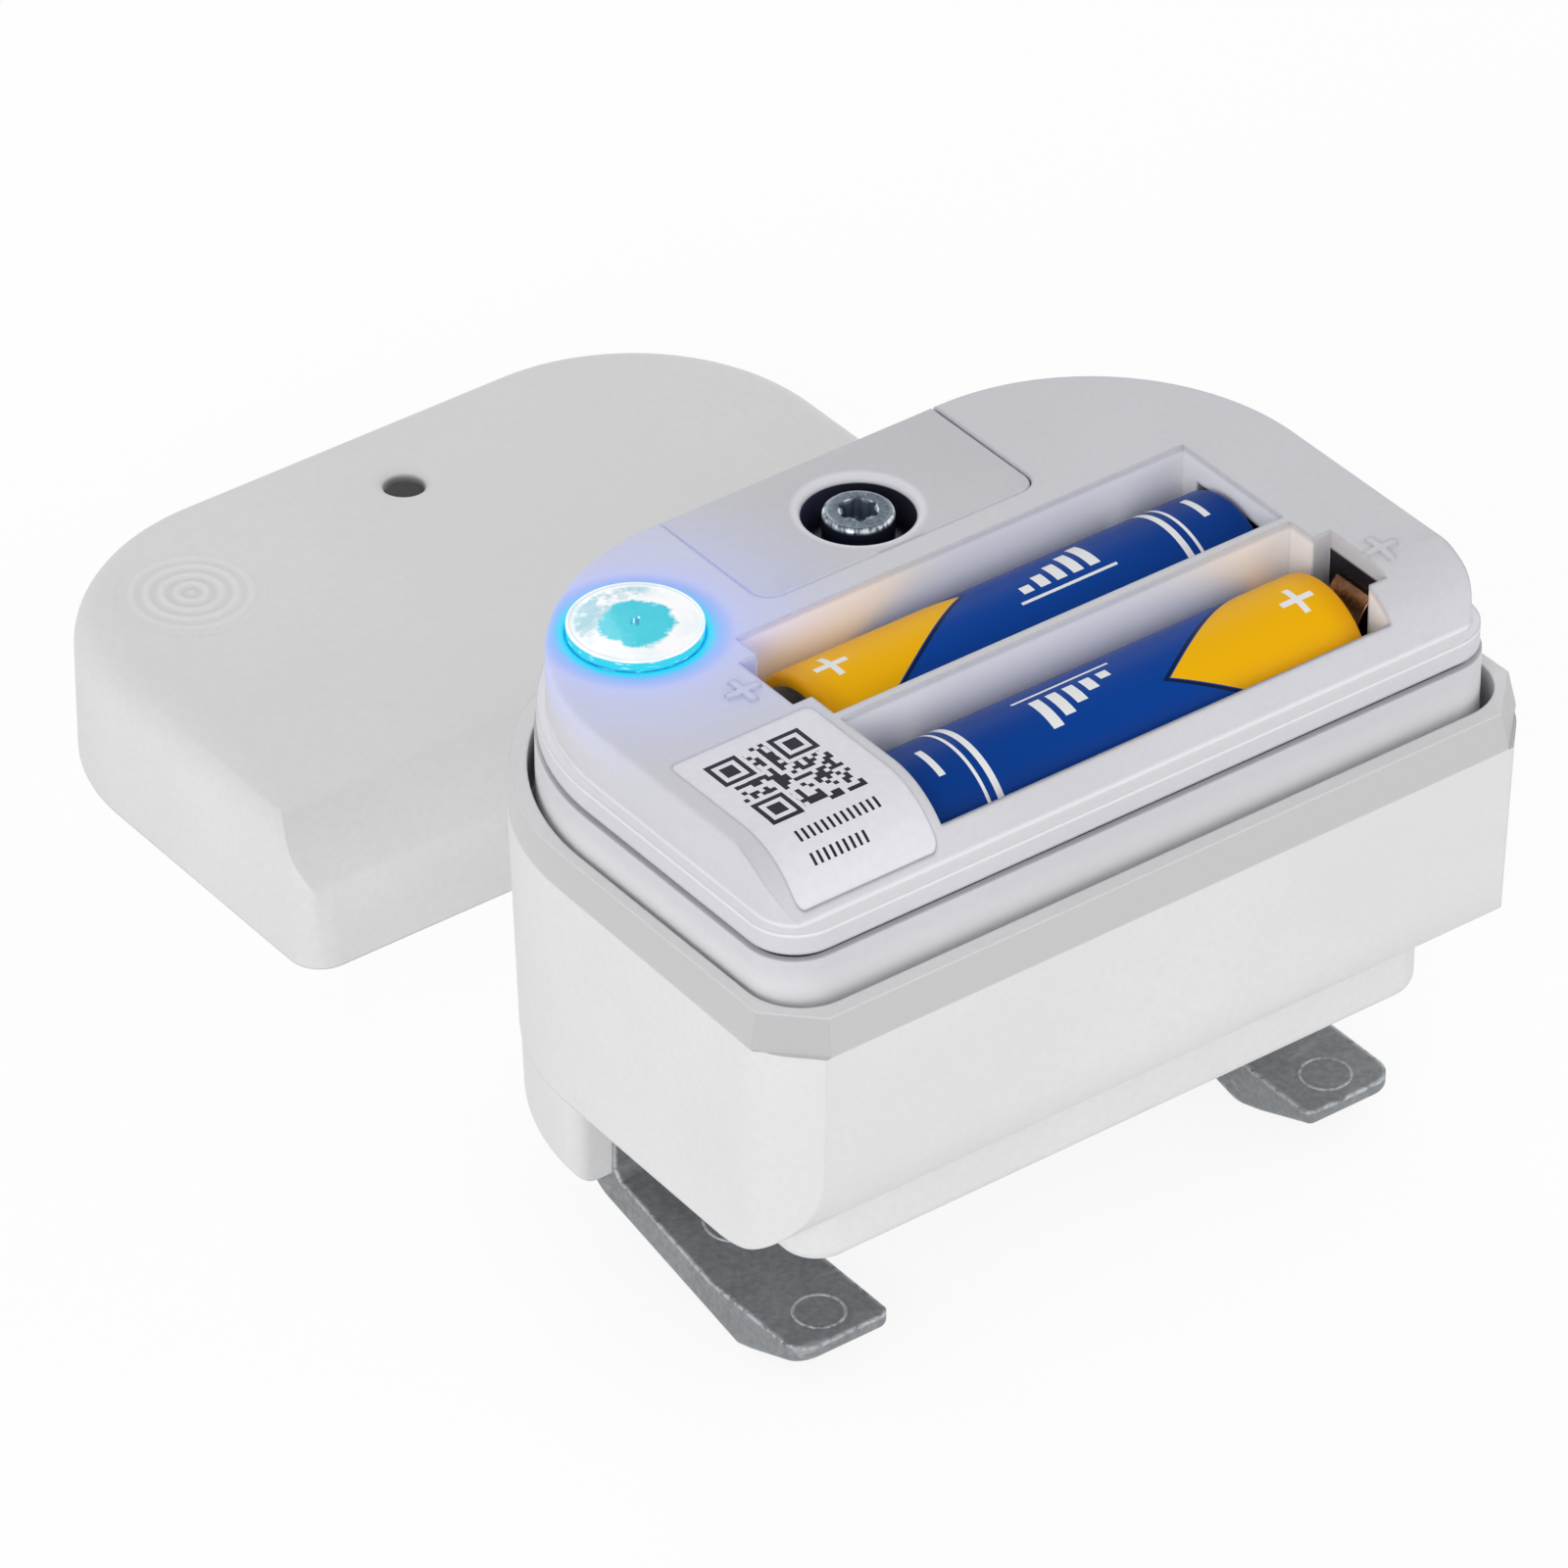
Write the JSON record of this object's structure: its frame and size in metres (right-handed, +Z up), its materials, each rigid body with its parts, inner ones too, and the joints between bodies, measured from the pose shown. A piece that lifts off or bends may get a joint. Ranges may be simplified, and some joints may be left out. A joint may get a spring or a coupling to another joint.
{
  "type": "clamp-on pipe sensor unit",
  "caption": "Battery-powered clamp-on pipe sensor: D-shaped casing, open battery tray with cells, lit button, clamp screw, under-casing jaws, cap taken off",
  "frame": {"origin": "on the clamp screw's axis, level with the flat top of the battery tray and the screw head", "axes": "+X along the battery cells and the pipe, -Y the flat front of the casing, +Z up along the clamp screw's axis"},
  "size_m": [0.0962, 0.1451, 0.0644],
  "materials": {
    "casing_white": "fine satin moulding",
    "housing_grey": "fine satin moulding",
    "seal_black": "matt rubber",
    "pad_rubber": "soft silicone",
    "label_white": "printed film",
    "lens_clear": "clear polished",
    "cell_steel": "plated steel",
    "cell_wrap": "printed shrink wrap",
    "screw_zinc": "zinc plated",
    "jaw_zinc": "die cast",
    "nut_brass": "machined",
    "contact_copper": "plated spring copper",
    "spring_steel": "bright spring wire",
    "board_green": "solder mask",
    "switch_black": "moulded",
    "shield_tin": "tinned sheet",
    "capacitor_sleeve": "shrink sleeve",
    "led_cyan": "lit",
    "ceramic_grey": "pressed ceramic"
  },
  "bodies": {
    "housing": {"casing_shell": "casing_white", "pipe_saddle": "casing_white", "transducers": "ceramic_grey", "acoustic_pads": "pad_rubber", "saddle_screws": "screw_zinc", "inner_housing": "housing_grey", "housing_screws": "screw_zinc", "tray_gasket": "seal_black", "battery_tray": "housing_grey", "tray_screws": "screw_zinc", "identification_label": "label_white", "screw_plate": "housing_grey", "screw_washer": "screw_zinc", "positive_contacts": "contact_copper", "negative_springs": "spring_steel", "status_board": "board_green", "button_switch": "switch_black", "status_led": "led_cyan", "button_spring": "spring_steel", "main_board": "board_green", "board_screws": "screw_zinc", "radio_module": "shield_tin", "antenna": "contact_copper", "supercapacitor": "capacitor_sleeve"},
    "clamp": {"clamp_yoke": "jaw_zinc", "yoke_nut": "nut_brass", "left_jaw": "jaw_zinc", "right_jaw": "jaw_zinc", "jaw_screws": "screw_zinc"},
    "screw": {"clamp_screw": "screw_zinc", "screw_retaining_ring": "spring_steel"},
    "rear_cell": {"rear_cell_can": "cell_steel", "rear_cell_wrap": "cell_wrap"},
    "front_cell": {"front_cell_can": "cell_steel", "front_cell_wrap": "cell_wrap"},
    "button": {"status_button": "lens_clear"},
    "lid": {"cap": "casing_white", "cap_seal": "seal_black"}
  },
  "joints": [
    {"name": "clamp_slide", "type": "slide", "parent": "housing", "child": "clamp", "axis": [0, 0, 1], "range_m": [-0.01, 0.005]},
    {"name": "screw_turn", "type": "hinge", "parent": "housing", "child": "screw", "pos_m": [0, 0, 0], "axis": [0, 0, 1], "range_deg": [-2571.5, 5143]},
    {"name": "rear_cell_lift", "type": "slide", "parent": "housing", "child": "rear_cell", "axis": [0, 0, 1], "range_m": [0, 0.025]},
    {"name": "front_cell_lift", "type": "slide", "parent": "housing", "child": "front_cell", "axis": [0, 0, 1], "range_m": [0, 0.025]},
    {"name": "button_press", "type": "slide", "parent": "housing", "child": "button", "axis": [0, 0, -1], "range_m": [0, 0.0005], "stiffness_N_per_m": 600, "deforming": ["button_spring"]},
    {"name": "cap_lift", "type": "slide", "parent": "housing", "child": "lid", "axis": [0, 0, 1], "range_m": [0, 0.08]}
  ],
  "couplings": [
    {"joint": "screw_turn", "follows": "clamp_slide", "rad_per_m": -8976}
  ]
}
